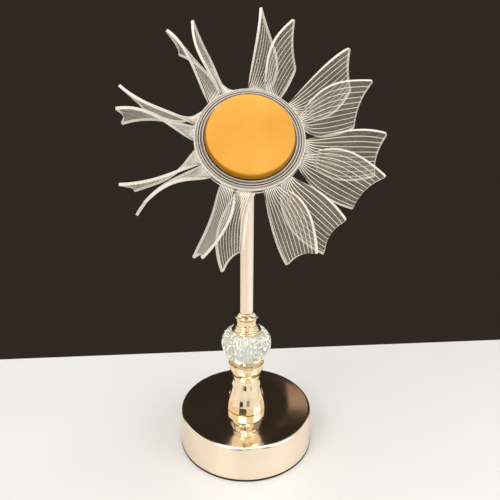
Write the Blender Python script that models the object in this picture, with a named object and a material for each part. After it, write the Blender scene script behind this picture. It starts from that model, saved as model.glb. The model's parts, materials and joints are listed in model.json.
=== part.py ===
"""Sunburst ornament of monstrance form: a drum foot, a faceted baluster, a cut-crystal knop, a straight tube
stem and a tilting head whose gold disc is ringed by clear twisted petals.

Lengths are millimetres until a mesh is made, where MM turns them into metres. The origin is the centre of the
underside of the foot pad, +Z is up and the head faces -Y. The head is modelled flat on its own axes (X to the
right, Y up the disc, Z out of the disc's face, zero at the middle of the petals' sheet) and is then set at its
tilt.
"""
import math

import bmesh
import bpy
from mathutils import Matrix, Vector

MM = 0.001
GAP = 0.3

# Drum foot
DRUM_TOP_R = 60.0
DRUM_FOOT_R = 60.9
DRUM_TOP_Z = 35.0
DRUM_EDGE_R = 2.0
SHEET = 1.2
PAD_T = 1.5
PAD_R = 60.6
PLATE_R = 58.4
PLATE_T = 2.0
BALLAST_R = 54.0
BALLAST_BORE_R = 14.0
BALLAST_T = 10.0

# Electrics in the drum
BOARD_SIZE = (50.0, 22.0, 1.6)
BOARD_Y = 37.0
BOARD_Z = BALLAST_T + 7.1
POST_R = 2.0
BATTERY_SIZE = (66.0, 33.0, 17.0)
BATTERY_Y = -28.0
BUTTON_R = 5.0
BUTTON_Z = 22.0
BUTTON_TRAVEL = 1.2
BUTTON_PROUD = 1.6
SOCKET_SIZE = (9.0, 13.0, 3.3)
SOCKET_X = 20.0

# Threaded pipe up the middle of the column
PIPE_R = 4.75
PIPE_BORE_R = 3.2
PIPE_LOW_Z = 5.0
PIPE_TOP_Z = 141.0
COLUMN_BORE_R = 5.1
NUT_CORNER_R = 8.1

# Column pieces, by the height of each one's lower face
BALUSTER_Z = DRUM_TOP_Z + GAP
BALUSTER_SIDES = 16
BALUSTER_TOP_Z = 66.4
BALUSTER_TURN = -3.1
CUP_Z = BALUSTER_TOP_Z + GAP
CUP_TOP_Z = 83.2
CUP_FLOOR_Z = 79.2
KNOP_SIDES = 12
COLLAR_Z = 115.2
COLLAR_H = 18.8
STEM_R = 6.1
STEM_BORE_R = 5.1
STEM_LOW_Z = 127.5
STEM_TOP_Z = 257.0

# Fork and tilting head
SOCKET_OUT_R = 7.2
FORK_LOW_Z = 240.0
PIVOT_Z = 270.0
EAR_T = 3.0
EAR_GAP = 8.2
EAR_R = 7.0
PIN_R = 2.0
TONGUE_T = 7.6
HEAD_RISE = 39.5
HEAD_REACH = 30.0

# Petal sheet, rings and disc
SHEET_T = 2.0
RING_T = 3.0
RING_OUT_R = 41.0
RING_IN_R = 30.0
HUB_R = 29.7
HUB_FLANGE_R = 33.6
CAP_R = 32.4
CAP_FOOT_R = 33.4
CAP_FACE_Z = 10.2
CAP_EDGE_R = 1.4
CAP_WALL = 1.2
HOUSING_R = 31.5
HOUSING_BACK_R = 13.0
HOUSING_BACK_Z = -20.0

UNITS = 8
UNIT_TURN = 18.7
TAB_IN_R = 34.4
TAB_OUT_R = 41.3
SCREW_CIRCLE_R = 37.3
SCREW_TURN = -13.5
PETAL_ROWS = 11
PETAL_COLUMNS = 5
SCALLOP = 0.06

# Each petal edge is one cubic curve: (radius, turn from the unit's own direction in degrees, height off the
# disc). The leading edge rises in front of the ring and the trailing edge drops behind it, which gives the
# petal its twist.
PETAL_A = {
    "lead": ((42.1, 25.5, 0.0), (60.2, 20.5, 19.0), (72.0, 19.5, 38.0), (94.6, 19.8, 28.0)),
    "trail": ((42.1, 9.9, 0.0), (58.0, 0.0, -21.5), (78.2, 5.4, -14.2), (98.6, 12.9, -16.5)),
}
PETAL_B = {
    "lead": ((42.1, 8.3, 0.0), (61.2, 15.0, 24.0), (77.0, 10.6, 16.0), (101.3, 4.4, 15.0)),
    "trail": ((42.1, -7.5, 0.0), (56.0, -2.0, -32.3), (71.0, -4.0, -34.6), (91.5, -2.3, -31.5)),
}

MATERIALS = {
    "champagne_gold": ((0.86, 0.70, 0.50), 0.12, 1.0),
    "yellow_gold": ((0.90, 0.66, 0.32), 0.14, 1.0),
    "satin_gold": ((0.92, 0.56, 0.13), 0.38, 0.8),
    "clear_acrylic": ((0.92, 0.93, 0.92), 0.05, 0.0),
    "crystal": ((0.95, 0.97, 0.97), 0.02, 0.0),
    "steel": ((0.60, 0.60, 0.60), 0.30, 1.0),
    "cast_iron": ((0.20, 0.20, 0.21), 0.70, 0.6),
    "black_felt": ((0.03, 0.03, 0.03), 0.90, 0.0),
    "green_board": ((0.05, 0.25, 0.12), 0.50, 0.0),
    "white_plastic": ((0.85, 0.85, 0.83), 0.40, 0.0),
    "grey_plastic": ((0.30, 0.29, 0.28), 0.45, 0.0),
    "blue_wrap": ((0.10, 0.20, 0.55), 0.35, 0.0),
}


def clear_scene():
    for obj in list(bpy.data.objects):
        bpy.data.objects.remove(obj, do_unlink=True)


def material(slot):
    mat = bpy.data.materials.get(slot)
    if mat is None:
        color, roughness, metallic = MATERIALS[slot]
        mat = bpy.data.materials.new(slot)
        mat.use_nodes = True
        shader = mat.node_tree.nodes["Principled BSDF"]
        shader.inputs["Base Color"].default_value = (*color, 1.0)
        shader.inputs["Roughness"].default_value = roughness
        shader.inputs["Metallic"].default_value = metallic
    return mat


def finish(name, bm, slot, smooth_angle=35.0, parent=None):
    """Turns a bmesh in millimetres into a named object with its material."""
    bmesh.ops.scale(bm, vec=(MM, MM, MM), verts=bm.verts)
    bmesh.ops.recalc_face_normals(bm, faces=bm.faces)
    mesh = bpy.data.meshes.new(name)
    bm.to_mesh(mesh)
    bm.free()
    obj = bpy.data.objects.new(name, mesh)
    bpy.context.collection.objects.link(obj)
    mesh.materials.append(material(slot))
    if smooth_angle:
        mesh.shade_smooth()
        mesh.set_sharp_from_angle(angle=math.radians(smooth_angle))
    if parent is not None:
        obj.parent = parent
    return obj


def arc(centre, radius, start, end, steps):
    """Profile points on a round stretch, angles in degrees from the outward direction."""
    points = []
    for i in range(steps + 1):
        a = math.radians(start + (end - start) * i / steps)
        points.append((centre[0] + radius * math.cos(a), centre[1] + radius * math.sin(a)))
    return points


def turn_profile(bm, profile, sides, phase=0.0):
    """Sweeps a closed (radius, height) loop round the Z axis."""
    rings = []
    for radius, height in profile:
        ring = []
        for i in range(sides):
            a = math.radians(phase) + 2.0 * math.pi * i / sides
            ring.append(bm.verts.new((radius * math.cos(a), radius * math.sin(a), height)))
        rings.append(ring)
    for lower, upper in zip(rings, rings[1:] + rings[:1]):
        for i in range(sides):
            j = (i + 1) % sides
            bm.faces.new((lower[i], lower[j], upper[j], upper[i]))


def turned(name, profile, slot, sides=32, phase=0.0, smooth_angle=35.0, parent=None):
    bm = bmesh.new()
    turn_profile(bm, profile, sides, phase)
    return finish(name, bm, slot, smooth_angle, parent)


def add_cylinder(bm, radius, low, high, sides=16, at=(0.0, 0.0), axis="Z"):
    """A solid cylinder between two heights along an axis, as its own body in the bmesh."""
    made = bmesh.ops.create_cone(bm, cap_ends=True, segments=sides, radius1=radius, radius2=radius,
                                 depth=high - low)
    middle = (low + high) / 2
    if axis == "Z":
        place = Matrix.Translation((at[0], at[1], middle))
    elif axis == "X":
        place = Matrix.Translation((middle, at[0], at[1])) @ Matrix.Rotation(math.pi / 2, 4, "Y")
    else:
        place = Matrix.Translation((at[0], middle, at[1])) @ Matrix.Rotation(math.pi / 2, 4, "X")
    bmesh.ops.transform(bm, matrix=place, verts=made["verts"])
    return made["verts"]


def add_box(bm, low, high):
    made = bmesh.ops.create_cube(bm, size=1.0)
    size = [b - a for a, b in zip(low, high)]
    middle = [(a + b) / 2 for a, b in zip(low, high)]
    bmesh.ops.transform(bm, matrix=Matrix.Translation(middle) @ Matrix.Diagonal((*size, 1.0)),
                        verts=made["verts"])


def cutter(name, bm, parent=None):
    obj = finish(name, bm, "steel", 0.0, parent)
    obj.hide_render = True
    obj.display_type = "WIRE"
    return obj


def combine(obj, other, operation):
    boolean = obj.modifiers.new(other.name, "BOOLEAN")
    boolean.operation = operation
    boolean.solver = "EXACT"
    boolean.object = other


# ---------------------------------------------------------------- drum foot

def drum_radius(z):
    """Outer radius of the drum's wall, which flares slightly towards the foot."""
    return DRUM_FOOT_R + (DRUM_TOP_R - DRUM_FOOT_R) * z / DRUM_TOP_Z


def make_drum_shell():
    low = PAD_T + GAP
    edge = (DRUM_TOP_R - DRUM_EDGE_R, DRUM_TOP_Z - DRUM_EDGE_R)
    outer = arc(edge, DRUM_EDGE_R, 90, 0, 4)
    inner = arc(edge, DRUM_EDGE_R - SHEET, 0, 90, 2)
    profile = [(COLUMN_BORE_R, DRUM_TOP_Z)] + outer + [(drum_radius(low), low),
                                                       (drum_radius(low) - SHEET, low)]
    profile += inner + [(COLUMN_BORE_R, DRUM_TOP_Z - SHEET)]
    shell = turned("drum_shell", profile, "champagne_gold", sides=56)

    holes = bmesh.new()
    add_cylinder(holes, BUTTON_R + GAP, DRUM_TOP_R - 8, DRUM_TOP_R + 6, 24, (0.0, BUTTON_Z), "Y")
    combine(shell, cutter("cut_button_hole", holes), "DIFFERENCE")
    slot = bmesh.new()
    width, _, height = SOCKET_SIZE
    low_z = BOARD_Z + BOARD_SIZE[2] + GAP
    side = width / 2 + GAP
    add_box(slot, (SOCKET_X - side, 50.0, low_z - GAP), (SOCKET_X + side, 64.0, low_z + height + GAP))
    combine(shell, cutter("cut_socket_slot", slot), "DIFFERENCE")


def make_base():
    pad = bmesh.new()
    add_cylinder(pad, PAD_R, 0.0, PAD_T, 64)
    finish("foot_pad", pad, "black_felt")
    low = PAD_T + GAP
    boss_r = 9.0
    boss_z = low + PLATE_T + 6.0
    plate = [
        (PIPE_R + GAP, low), (PLATE_R, low), (PLATE_R, low + PLATE_T), (boss_r, low + PLATE_T),
        (boss_r, boss_z), (PIPE_R + GAP, boss_z),
    ]
    turned("base_plate", plate, "steel", sides=36)
    floor = low + PLATE_T + GAP
    ballast = [
        (BALLAST_BORE_R, floor), (BALLAST_R, floor), (BALLAST_R, floor + BALLAST_T - 1.5),
        (BALLAST_R - 1.5, floor + BALLAST_T), (BALLAST_BORE_R, floor + BALLAST_T),
    ]
    turned("ballast_ring", ballast, "cast_iron", sides=28)
    return floor + BALLAST_T


def make_electrics(deck):
    """Battery, board, switch, socket and button. The deck is the top of the ballast."""
    bm = bmesh.new()
    long, wide, tall = BATTERY_SIZE
    low = deck + GAP
    add_box(bm, (-long / 2, BATTERY_Y - wide / 2, low), (long / 2, BATTERY_Y + wide / 2, low + tall))
    bmesh.ops.bevel(bm, geom=bm.edges[:], offset=2.5, segments=2, affect="EDGES")
    finish("battery_pack", bm, "blue_wrap")

    length, width, thick = BOARD_SIZE
    bm = bmesh.new()
    add_box(bm, (-length / 2, BOARD_Y - width / 2, BOARD_Z),
            (length / 2, BOARD_Y + width / 2, BOARD_Z + thick))
    finish("control_board", bm, "green_board", 0.0)

    bm = bmesh.new()
    tray_top = deck + GAP + 1.5
    add_box(bm, (-length / 2, BOARD_Y - width / 2, deck + GAP), (length / 2, BOARD_Y + width / 2, tray_top))
    carrier = finish("board_carrier", bm, "white_plastic", 0.0)
    for number, (sx, sy) in enumerate(((-1, -1), (1, -1), (-1, 1), (1, 1))):
        at = (sx * (length / 2 - 3.5), BOARD_Y + sy * (width / 2 - 3.5))
        post = bmesh.new()
        add_cylinder(post, POST_R, tray_top - 0.5, BOARD_Z - GAP, 12, at)
        combine(carrier, cutter("join_post_%d" % number, post), "UNION")

    top = BOARD_Z + thick + GAP
    bm = bmesh.new()
    add_box(bm, (-4.0, 42.0, top), (4.0, 47.5, BUTTON_Z + 3.0))
    finish("button_switch", bm, "white_plastic", 0.0)

    bm = bmesh.new()
    face = drum_radius(BUTTON_Z)
    add_cylinder(bm, BUTTON_R, 50.0, face + BUTTON_PROUD - 0.6, 24, (0.0, BUTTON_Z), "Y")
    rim = [e for e in bm.edges if all(v.co.y > face for v in e.verts)]
    bmesh.ops.bevel(bm, geom=rim, offset=0.6, segments=2, affect="EDGES")
    for vert in bm.verts:
        vert.co.y -= 50.0
        vert.co.z -= BUTTON_Z
    button = finish("power_button", bm, "champagne_gold")
    button.location = (0.0, 50.0 * MM, BUTTON_Z * MM)

    width, depth, height = SOCKET_SIZE
    wall = 0.5
    front = 56.6
    bm = bmesh.new()
    add_box(bm, (SOCKET_X - width / 2, front - depth, top), (SOCKET_X + width / 2, front, top + height))
    mouth = bmesh.new()
    add_box(mouth, (SOCKET_X - width / 2 + wall, front - 8.0, top + wall),
            (SOCKET_X + width / 2 - wall, front + 1.0, top + height - wall))
    socket = finish("charge_socket", bm, "steel", 0.0)
    combine(socket, cutter("cut_socket_mouth", mouth), "DIFFERENCE")


# ---------------------------------------------------------------- column

def make_pipe():
    pipe = [(PIPE_BORE_R, PIPE_LOW_Z), (PIPE_R, PIPE_LOW_Z), (PIPE_R, PIPE_TOP_Z),
            (PIPE_BORE_R, PIPE_TOP_Z)]
    turned("threaded_pipe", pipe, "steel", sides=16)
    ceiling = DRUM_TOP_Z - SHEET - GAP
    washer = [(COLUMN_BORE_R, ceiling - 1.5), (12.0, ceiling - 1.5), (12.0, ceiling),
              (COLUMN_BORE_R, ceiling)]
    turned("pipe_washer", washer, "steel", sides=20)
    top = ceiling - 1.5 - GAP
    bottom = top - 4.0
    nut = bmesh.new()
    add_cylinder(nut, NUT_CORNER_R, bottom, top, 6)
    bore = bmesh.new()
    add_cylinder(bore, COLUMN_BORE_R, bottom - 1.0, top + 1.0, 24)
    combine(finish("pipe_nut", nut, "steel", 0.0), cutter("cut_nut_bore", bore), "DIFFERENCE")


def make_baluster():
    """Rows of flat facets, flaring to the drum."""
    rows = [(17.8, BALUSTER_Z), (18.1, 37.4), (15.9, 48.6), (13.0, 58.8), (11.5, 63.5),
            (11.2, BALUSTER_TOP_Z)]
    profile = [(COLUMN_BORE_R, BALUSTER_Z)] + rows + [(COLUMN_BORE_R, BALUSTER_TOP_Z)]
    phase = -90.0 + BALUSTER_TURN
    turned("faceted_baluster", profile, "yellow_gold", sides=BALUSTER_SIDES, phase=phase, smooth_angle=0.0)


def make_cup():
    outer = [(11.0, CUP_Z), (11.9, CUP_Z + 0.7), (11.9, CUP_Z + 2.2), (11.5, CUP_Z + 2.8), (12.6, 70.6),
             (14.2, 73.6)]
    outer += [(15.3, 76.8), (15.8, 79.8), (15.9, CUP_TOP_Z - 0.4), (15.5, CUP_TOP_Z)]
    inner = [(14.8, CUP_TOP_Z - 0.2), (13.2, 80.4), (10.6, CUP_FLOOR_Z), (COLUMN_BORE_R, CUP_FLOOR_Z)]
    turned("crystal_cup", [(COLUMN_BORE_R, CUP_Z)] + outer + inner, "yellow_gold", sides=28)


def make_knop():
    """Cut-crystal knop: each ring of corners is half a step round from the next, so the facets are triangles."""
    rows = [(9.0, CUP_FLOOR_Z + GAP), (13.4, 84.6), (19.6, 94.2), (22.1, 102.8), (20.4, 109.0),
            (15.7, COLLAR_Z - GAP)]
    bm = bmesh.new()
    rings = []
    for k, (radius, z) in enumerate(rows):
        ring = []
        for i in range(KNOP_SIDES):
            a = 2.0 * math.pi * (i + 0.5 * (k % 2)) / KNOP_SIDES
            ring.append(bm.verts.new((radius * math.cos(a), radius * math.sin(a), z)))
        rings.append(ring)
    for k, (lower, upper) in enumerate(zip(rings, rings[1:])):
        for i in range(KNOP_SIDES):
            j = (i + 1) % KNOP_SIDES
            if k % 2:
                bm.faces.new((lower[i], upper[j], upper[i]))
                bm.faces.new((lower[i], lower[j], upper[j]))
            else:
                bm.faces.new((lower[i], lower[j], upper[i]))
                bm.faces.new((lower[j], upper[j], upper[i]))
    bore = []
    for _, z in (rows[0], rows[-1]):
        ring = []
        for i in range(KNOP_SIDES):
            a = 2.0 * math.pi * i / KNOP_SIDES
            ring.append(bm.verts.new((COLUMN_BORE_R * math.cos(a), COLUMN_BORE_R * math.sin(a), z)))
        bore.append(ring)
    for i in range(KNOP_SIDES):
        j = (i + 1) % KNOP_SIDES
        bm.faces.new((bore[0][i], bore[0][j], rings[0][j], rings[0][i]))
        bm.faces.new((bore[1][i], bore[1][j], rings[-1][j], rings[-1][i]))
        bm.faces.new((bore[0][i], bore[0][j], bore[1][j], bore[1][i]))
    finish("crystal_knop", bm, "crystal", 0.0)


def make_collar():
    low = COLLAR_Z
    top = low + COLLAR_H
    outer = [
        (12.3, low), (12.9, low + 0.6), (12.9, low + 1.8), (12.2, low + 2.3), (11.4, low + 2.5),
        (11.6, low + 3.6),
        (10.5, low + 4.6), (10.5, low + 6.4), (9.2, low + 7.2), (8.9, low + 9.6), (8.9, low + 11.2),
        (9.6, low + 13.6),
        (10.9, low + 15.0), (10.9, low + 15.8), (10.4, low + 16.2), (8.6, low + 17.2), (7.0, top),
    ]
    shoulder = STEM_LOW_Z - GAP
    inner = [(STEM_R + GAP, top), (STEM_R + GAP, shoulder), (COLUMN_BORE_R, shoulder), (COLUMN_BORE_R, low)]
    turned("turned_collar", inner + outer, "yellow_gold", sides=26)


def make_stem():
    stem = [(STEM_BORE_R, STEM_LOW_Z), (STEM_R, STEM_LOW_Z), (STEM_R, STEM_TOP_Z),
            (STEM_BORE_R, STEM_TOP_Z)]
    turned("stem_tube", stem, "champagne_gold", sides=24)


def make_fork():
    """Socket over the stem's top with two ears for the pivot pin."""
    bore = STEM_R + GAP
    roof = STEM_TOP_Z + GAP
    top = roof + 3.0
    socket = [(0.001, roof), (bore, roof), (bore, FORK_LOW_Z), (SOCKET_OUT_R - 0.5, FORK_LOW_Z),
              (SOCKET_OUT_R, FORK_LOW_Z + 0.5), (SOCKET_OUT_R, top), (0.001, top)]
    bm = bmesh.new()
    turn_profile(bm, socket, 24)
    bmesh.ops.remove_doubles(bm, verts=bm.verts, dist=0.01)
    fork = finish("stem_fork", bm, "champagne_gold")
    for side, x in (("left", -EAR_GAP / 2 - EAR_T), ("right", EAR_GAP / 2)):
        ear = bmesh.new()
        ear_outline = [(-EAR_R, top - 1.5), (EAR_R, top - 1.5)] + arc((0.0, PIVOT_Z), EAR_R, 0, 180, 10)
        add_prism(ear, ear_outline, x, x + EAR_T)
        combine(fork, cutter("join_ear_" + side, ear), "UNION")
    hole = bmesh.new()
    add_cylinder(hole, PIN_R + 0.05, -12.0, 12.0, 20, (0.0, PIVOT_Z), "X")
    combine(fork, cutter("cut_fork_hole", hole), "DIFFERENCE")


def add_prism(bm, outline, low, high):
    """Extrudes a (y, z) outline along X."""
    first = [bm.verts.new((low, y, z)) for y, z in outline]
    last = [bm.verts.new((high, y, z)) for y, z in outline]
    bm.faces.new(first)
    bm.faces.new(last)
    count = len(outline)
    for i in range(count):
        j = (i + 1) % count
        bm.faces.new((first[i], first[j], last[j], last[i]))


def make_pin():
    """Shoulder pin with a round head, held by a domed nut."""
    outside = EAR_GAP / 2 + EAR_T + GAP
    bm = bmesh.new()
    profile = [(0.0, -outside - 2.2), (2.4, -outside - 2.0), (3.4, -outside - 1.2), (3.4, -outside),
               (PIN_R, -outside), (PIN_R, outside + 1.2), (0.0, outside + 1.2)]
    turn_open_profile(bm, profile, 20)
    place_across(bm)
    finish("pivot_pin", bm, "yellow_gold")
    bm = bmesh.new()
    nut = [(PIN_R + 0.05, outside), (3.6, outside), (3.6, outside + 1.8), (2.8, outside + 3.0),
           (1.4, outside + 3.6),
           (0.0, outside + 3.7), (0.0, outside + 1.5), (PIN_R + 0.05, outside + 1.5)]
    turn_open_profile(bm, nut, 20, closed=True)
    place_across(bm)
    finish("pivot_nut", bm, "yellow_gold")


def turn_open_profile(bm, profile, sides, closed=False):
    """Sweeps a profile that meets the axis; points on the axis become single corners."""
    rings = []
    for radius, height in profile:
        if radius == 0.0:
            rings.append([bm.verts.new((0.0, 0.0, height))])
            continue
        ring = []
        for i in range(sides):
            a = 2.0 * math.pi * i / sides
            ring.append(bm.verts.new((radius * math.cos(a), radius * math.sin(a), height)))
        rings.append(ring)
    pairs = list(zip(rings, rings[1:]))
    if closed:
        pairs.append((rings[-1], rings[0]))
    for lower, upper in pairs:
        if len(lower) == 1 and len(upper) == 1:
            continue
        for i in range(sides):
            j = (i + 1) % sides
            if len(lower) == 1:
                bm.faces.new((lower[0], upper[j], upper[i]))
            elif len(upper) == 1:
                bm.faces.new((lower[i], lower[j], upper[0]))
            else:
                bm.faces.new((lower[i], lower[j], upper[j], upper[i]))


def place_across(bm):
    """Lays a piece made on the Z axis along the pivot."""
    place = Matrix.Translation((0.0, 0.0, PIVOT_Z)) @ Matrix.Rotation(math.pi / 2, 4, "Y")
    bmesh.ops.transform(bm, matrix=place, verts=bm.verts)


# ---------------------------------------------------------------- head

def head_frame():
    """Empty on the tilt axis, turned so that its Z is the disc's outward direction."""
    empty = bpy.data.objects.new("head_frame", None)
    bpy.context.collection.objects.link(empty)
    rise = math.radians(HEAD_RISE)
    right = Vector((1.0, 0.0, 0.0))
    up = Vector((0.0, math.sin(rise), math.cos(rise)))
    out = Vector((0.0, -math.cos(rise), math.sin(rise)))
    turn = Matrix((right, up, out)).transposed().to_4x4()
    empty.matrix_world = Matrix.Translation((0.0, 0.0, PIVOT_Z * MM)) @ turn
    return empty


def on_head(obj, head):
    """The head's pieces are drawn from the sheet's middle, HEAD_REACH in front of the pivot."""
    obj.parent = head
    obj.location = (0.0, 0.0, HEAD_REACH * MM)
    return obj


def make_hub(head):
    half = SHEET_T / 2
    face = half + GAP + RING_T
    hub = [(4.0, -face), (HUB_R, -face), (HUB_R, -half), (HUB_FLANGE_R, -half), (HUB_FLANGE_R, half),
           (HUB_R, half),
           (HUB_R, face), (4.0, face)]
    on_head(turned("petal_hub", hub, "grey_plastic", sides=30), head)


def ring_profile(side):
    """A clear ring on one side of the petals, with the turned steps on its outer face."""
    inside = side * (SHEET_T / 2 + GAP)
    steps = ((RING_IN_R, RING_T), (33.5, RING_T), (33.5, RING_T - 0.8), (34.1, RING_T - 0.8),
             (34.1, RING_T - 0.2),
             (37.2, RING_T - 0.4), (37.2, RING_T - 1.2), (38.0, RING_T - 1.2), (38.0, RING_T - 0.6),
             (RING_OUT_R - 0.5, RING_T - 1.0), (RING_OUT_R, RING_T - 1.5))
    if side < 0:
        steps = ((RING_IN_R, RING_T), (RING_OUT_R - 0.8, RING_T), (RING_OUT_R, RING_T - 0.8))
    return [(RING_IN_R, inside)] + [(r, inside + side * t) for r, t in steps] + [(RING_OUT_R, inside)]


def screw_places():
    """Every second gap between the petals' tabs takes a screw."""
    places = []
    for unit in range(0, UNITS, 2):
        a = math.radians(UNIT_TURN + SCREW_TURN + unit * 360.0 / UNITS)
        places.append((SCREW_CIRCLE_R * math.cos(a), SCREW_CIRCLE_R * math.sin(a)))
    return places


def make_rings(head):
    half = SHEET_T / 2
    front = on_head(turned("front_ring", ring_profile(1), "clear_acrylic", sides=36), head)
    rear = on_head(turned("rear_ring", ring_profile(-1), "clear_acrylic", sides=36), head)
    pilot = bmesh.new()
    through = bmesh.new()
    back = -half - GAP - RING_T
    for number, place in enumerate(screw_places()):
        add_cylinder(pilot, 1.25, half, half + GAP + 1.6, 12, place)
        add_cylinder(through, 1.25, back - 1.0, -half, 12, place)
        make_screw("ring_screw_%d" % (number + 1), place, back - GAP, half + GAP + 1.2, head)
    combine(front, on_head(cutter("cut_pilot_holes", pilot), head), "DIFFERENCE")
    combine(rear, on_head(cutter("cut_screw_holes", through), head), "DIFFERENCE")


def make_screw(name, at, head_z, tip_z, head):
    """A round-headed screw, its head behind the rear ring."""
    profile = [(0.0, head_z - 1.2), (1.4, head_z - 1.1), (1.9, head_z - 0.5), (1.9, head_z), (0.95, head_z),
               (0.95, tip_z), (0.0, tip_z)]
    bm = bmesh.new()
    turn_open_profile(bm, profile, 12)
    bmesh.ops.translate(bm, vec=(at[0], at[1], 0.0), verts=bm.verts)
    on_head(finish(name, bm, "steel"), head)


def make_cap(head):
    """The gold disc: a shallow cup over the light board, its wall widening to the ring."""
    low = SHEET_T / 2 + GAP + RING_T + GAP
    edge = (CAP_R - CAP_EDGE_R, CAP_FACE_Z - CAP_EDGE_R)
    outer = [(CAP_FOOT_R, low)] + arc(edge, CAP_EDGE_R, 0, 90, 4) + [(0.0, CAP_FACE_Z)]
    ceiling = CAP_FACE_Z - CAP_WALL
    inner = [(0.0, ceiling), (CAP_R - CAP_EDGE_R, ceiling), (CAP_R - CAP_WALL, ceiling - 1.2),
             (CAP_FOOT_R - CAP_WALL, low)]
    bm = bmesh.new()
    turn_open_profile(bm, outer + inner, 36, closed=True)
    on_head(finish("gold_disc", bm, "satin_gold"), head)

    board = [(6.0, low), (28.0, low), (28.0, low + 1.2), (6.0, low + 1.2)]
    on_head(turned("light_board", board, "green_board", sides=24), head)
    strip_low = low + 1.2 + GAP
    strip = [(23.5, strip_low), (27.5, strip_low), (27.5, strip_low + 1.2), (23.5, strip_low + 1.2)]
    on_head(turned("light_strip", strip, "white_plastic", sides=24), head)


def make_housing(head):
    """Domed back cover with the tongue that the fork holds."""
    front = -(SHEET_T / 2 + GAP + RING_T + GAP)
    wall = 1.4
    outer = [(HOUSING_R, front), (HOUSING_R, front - 2.0), (HOUSING_R - 1.6, front - 5.2), (26.4, -14.2),
             (20.0, -18.0), (HOUSING_BACK_R, HOUSING_BACK_Z)]
    inner = [(HOUSING_BACK_R - 0.2, HOUSING_BACK_Z + wall), (19.4, -16.7), (25.4, -13.2),
             (HOUSING_R - 3.0, front - 4.8),
             (HOUSING_R - wall, front - 1.8), (HOUSING_R - wall, front)]
    bore = 2.5
    profile = [(bore, HOUSING_BACK_Z)] + outer[::-1] + inner[::-1] + [(bore, HOUSING_BACK_Z + wall)]
    on_head(turned("back_cover", profile, "yellow_gold", sides=30), head)

    seat = HOUSING_BACK_Z - GAP
    bm = bmesh.new()
    add_cylinder(bm, 9.0, seat - 2.0, seat, 24)
    tongue = on_head(finish("tilt_tongue", bm, "champagne_gold"), head)
    blade = bmesh.new()
    outline = [(EAR_R - 0.5, seat - 1.0), (-EAR_R + 0.5, seat - 1.0)] + arc((0.0, -HEAD_REACH), EAR_R - 0.5,
                                                                            180, 360, 10)
    add_prism(blade, outline, -TONGUE_T / 2, TONGUE_T / 2)
    combine(tongue, on_head(cutter("join_tongue_blade", blade), head), "UNION")
    hole = bmesh.new()
    add_cylinder(hole, PIN_R + 0.05, -8.0, 8.0, 20, (0.0, -HEAD_REACH), "X")
    combine(tongue, on_head(cutter("cut_tongue_hole", hole), head), "DIFFERENCE")


def cubic(points, t):
    s = 1.0 - t
    weights = (s * s * s, 3 * s * s * t, 3 * s * t * t, t * t * t)
    return [sum(w * p[k] for w, p in zip(weights, points)) for k in range(3)]


def cylinder_point(point, turn):
    radius, angle, height = point
    a = math.radians(angle + turn)
    return Vector((radius * math.cos(a), radius * math.sin(a), height))


def petal_grid(edges, turn):
    """Rows of points from the tab inside the rings to the scalloped end."""
    grid = []
    for radius in (TAB_IN_R, TAB_OUT_R):
        row = []
        for k in range(PETAL_COLUMNS):
            w = k / (PETAL_COLUMNS - 1)
            angle = edges["lead"][0][1] * (1 - w) + edges["trail"][0][1] * w
            row.append(cylinder_point((radius, angle, 0.0), turn))
        grid.append(row)
    for i in range(1, PETAL_ROWS):
        row = []
        for k in range(PETAL_COLUMNS):
            w = k / (PETAL_COLUMNS - 1)
            t = i / (PETAL_ROWS - 1) * (1.0 - SCALLOP * 4.0 * w * (1.0 - w))
            lead = cylinder_point(cubic(edges["lead"], t), turn)
            trail = cylinder_point(cubic(edges["trail"], t), turn)
            row.append(lead.lerp(trail, w))
        grid.append(row)
    return grid


def grid_normal(grid, i, k):
    rows = len(grid) - 1
    columns = len(grid[0]) - 1
    if i < 2:
        return Vector((0.0, 0.0, 1.0))
    along = grid[min(i + 1, rows)][k] - grid[i - 1][k]
    across = grid[i][min(k + 1, columns)] - grid[i][max(k - 1, 0)]
    normal = across.cross(along)
    return normal.normalized()


def make_petal(name, edges, turn, head):
    grid = petal_grid(edges, turn)
    bm = bmesh.new()
    sheets = []
    for side in (-0.5, 0.5):
        sheet = []
        for i, row in enumerate(grid):
            sheet.append([bm.verts.new(p + grid_normal(grid, i, k) * side * SHEET_T) for k,
                          p in enumerate(row)])
        sheets.append(sheet)
    rows = len(grid)
    columns = len(grid[0])
    for sheet in sheets:
        for i in range(rows - 1):
            for k in range(columns - 1):
                bm.faces.new((sheet[i][k], sheet[i][k + 1], sheet[i + 1][k + 1], sheet[i + 1][k]))
    border = [(i, 0) for i in range(rows)] + [(rows - 1, k) for k in range(1, columns)]
    border += [(i, columns - 1) for i in range(rows - 2, -1, -1)] + [(0, k) for k in range(columns - 2, 0,
                                                                                           -1)]
    for (i, k), (m, n) in zip(border, border[1:] + border[:1]):
        bm.faces.new((sheets[0][i][k], sheets[0][m][n], sheets[1][m][n], sheets[1][i][k]))
    bmesh.ops.triangulate(bm, faces=bm.faces[:])
    on_head(finish(name, bm, "clear_acrylic", 50.0), head)


def make_petals(head):
    for unit in range(UNITS):
        turn = UNIT_TURN + unit * 360.0 / UNITS
        make_petal("petal_%da" % (unit + 1), PETAL_A, turn, head)
        make_petal("petal_%db" % (unit + 1), PETAL_B, turn, head)


def main():
    clear_scene()
    make_drum_shell()
    deck = make_base()
    make_electrics(deck)
    make_pipe()
    make_baluster()
    make_cup()
    make_knop()
    make_collar()
    make_stem()
    make_fork()
    make_pin()
    head = head_frame()
    make_hub(head)
    make_rings(head)
    make_cap(head)
    make_housing(head)
    make_petals(head)


main()
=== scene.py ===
"""Looks of the monstrance-form ornament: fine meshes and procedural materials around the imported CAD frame."""
import json
import math

import bmesh
import bpy
from mathutils import Matrix, Vector


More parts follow.
